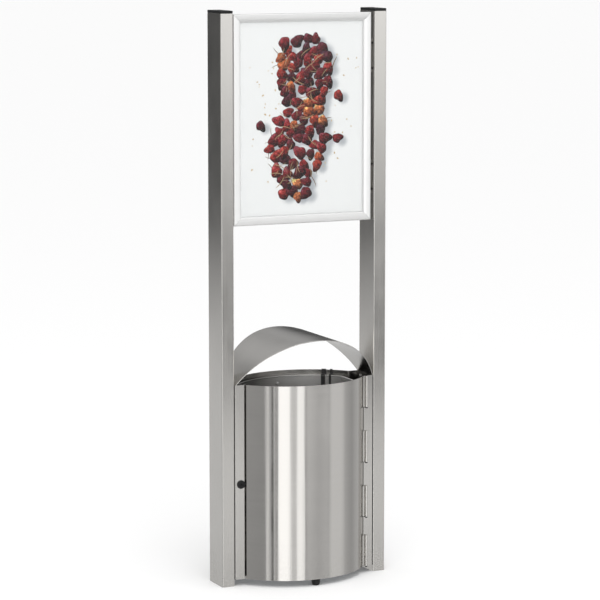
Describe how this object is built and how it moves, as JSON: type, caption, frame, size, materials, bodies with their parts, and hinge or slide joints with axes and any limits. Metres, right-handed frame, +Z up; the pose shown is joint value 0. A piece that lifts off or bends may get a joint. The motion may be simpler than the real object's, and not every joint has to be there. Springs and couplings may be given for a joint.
{
  "type": "litter bin",
  "caption": "Free-standing litter bin between two rectangular posts, with a hinged curved door, an inner liner, a sheet hood over the mouth and a snap frame for a poster above.",
  "frame": {"origin": "on the ground, centred between the posts and midway between the hood edges", "axes": "+X to the right seen from the front, -Y to the front where the door and the poster face, +Z up"},
  "size_m": [0.54, 0.312, 1.72],
  "materials": {
    "brushed_steel": "brushed along the height",
    "bright_steel": "polished",
    "galvanised_steel": "dull mill finish",
    "black_plastic": "moulded, fine grain",
    "anodised_aluminium": "matt anodised",
    "poster_paper": "matt print",
    "clear_cover": "clear, anti-glare",
    "back_board": "matt"
  },
  "bodies": {
    "stand": {"bin_floor": "galvanised_steel", "frame_back_panel": "back_board", "frame_fixed_rail_bottom": "anodised_aluminium", "frame_fixed_rail_left": "anodised_aluminium", "frame_fixed_rail_right": "anodised_aluminium", "frame_fixed_rail_top": "anodised_aluminium", "front_foot_nut": "bright_steel", "hinge_1_fixed_leaf": "brushed_steel", "hinge_1_pin": "black_plastic", "hinge_2_fixed_leaf": "brushed_steel", "hinge_2_pin": "black_plastic", "hinge_3_fixed_leaf": "brushed_steel", "hinge_3_pin": "black_plastic", "hinge_4_fixed_leaf": "brushed_steel", "hinge_4_pin": "black_plastic", "hood": "brushed_steel", "hood_bolt_left_front": "bright_steel", "hood_bolt_left_rear": "bright_steel", "hood_bolt_right_front": "bright_steel", "hood_bolt_right_rear": "bright_steel", "left_jamb": "brushed_steel", "left_post": "brushed_steel", "left_post_cap": "black_plastic", "left_post_foot_plug": "black_plastic", "liner": "galvanised_steel", "liner_clip": "galvanised_steel", "lock_housing": "black_plastic", "lock_nut": "galvanised_steel", "lower_left_frame_bracket": "brushed_steel", "lower_right_frame_bracket": "brushed_steel", "poster_cover": "clear_cover", "poster_sheet": "poster_paper", "rear_foot_nut": "bright_steel", "rear_shell": "brushed_steel", "right_jamb": "brushed_steel", "right_post": "brushed_steel", "right_post_cap": "black_plastic", "right_post_foot_plug": "black_plastic", "upper_left_frame_bracket": "brushed_steel", "upper_right_frame_bracket": "brushed_steel"},
    "door": {"door_skin": "brushed_steel", "door_lower_rib": "galvanised_steel", "door_upper_rib": "galvanised_steel", "door_catch": "galvanised_steel", "hinge_1_door_leaf": "brushed_steel", "hinge_2_door_leaf": "brushed_steel", "hinge_3_door_leaf": "brushed_steel", "hinge_4_door_leaf": "brushed_steel"},
    "lock_barrel": {"lock_insert": "black_plastic", "lock_cam": "galvanised_steel"},
    "front_foot": {"front_foot_pad": "black_plastic", "front_foot_stud": "bright_steel"},
    "rear_foot": {"rear_foot_pad": "black_plastic", "rear_foot_stud": "bright_steel"},
    "top_flip_rail": {"frame_flip_rail_top": "anodised_aluminium"},
    "right_flip_rail": {"frame_flip_rail_right": "anodised_aluminium"},
    "bottom_flip_rail": {"frame_flip_rail_bottom": "anodised_aluminium"},
    "left_flip_rail": {"frame_flip_rail_left": "anodised_aluminium"}
  },
  "joints": [
    {"name": "door_hinge", "type": "hinge", "parent": "stand", "child": "door", "pos_m": [0.2055, -0.0548, 0.3155], "axis": [0, 0, 1], "range_deg": [0, 110]},
    {"name": "lock_turn", "type": "hinge", "parent": "stand", "child": "lock_barrel", "pos_m": [-0.209, -0.05, 0.31], "axis": [0, 1, 0], "range_deg": [0, 90]},
    {"name": "top_flip", "type": "hinge", "parent": "stand", "child": "top_flip_rail", "pos_m": [0, -0.032, 1.709], "axis": [-1, 0, 0], "range_deg": [0, 90]},
    {"name": "bottom_flip", "type": "hinge", "parent": "stand", "child": "bottom_flip_rail", "pos_m": [0, -0.032, 1.085], "axis": [1, 0, 0], "range_deg": [0, 90]},
    {"name": "right_flip", "type": "hinge", "parent": "stand", "child": "right_flip_rail", "pos_m": [0.225, -0.032, 1.397], "axis": [0, 0, 1], "range_deg": [0, 55]},
    {"name": "left_flip", "type": "hinge", "parent": "stand", "child": "left_flip_rail", "pos_m": [-0.225, -0.032, 1.397], "axis": [0, 0, -1], "range_deg": [0, 55]},
    {"name": "front_foot_turn", "type": "hinge", "parent": "stand", "child": "front_foot", "pos_m": [0, -0.131, 0], "axis": [0, 0, 1], "continuous": true},
    {"name": "rear_foot_turn", "type": "hinge", "parent": "stand", "child": "rear_foot", "pos_m": [0, 0.131, 0], "axis": [0, 0, 1], "continuous": true}
  ]
}
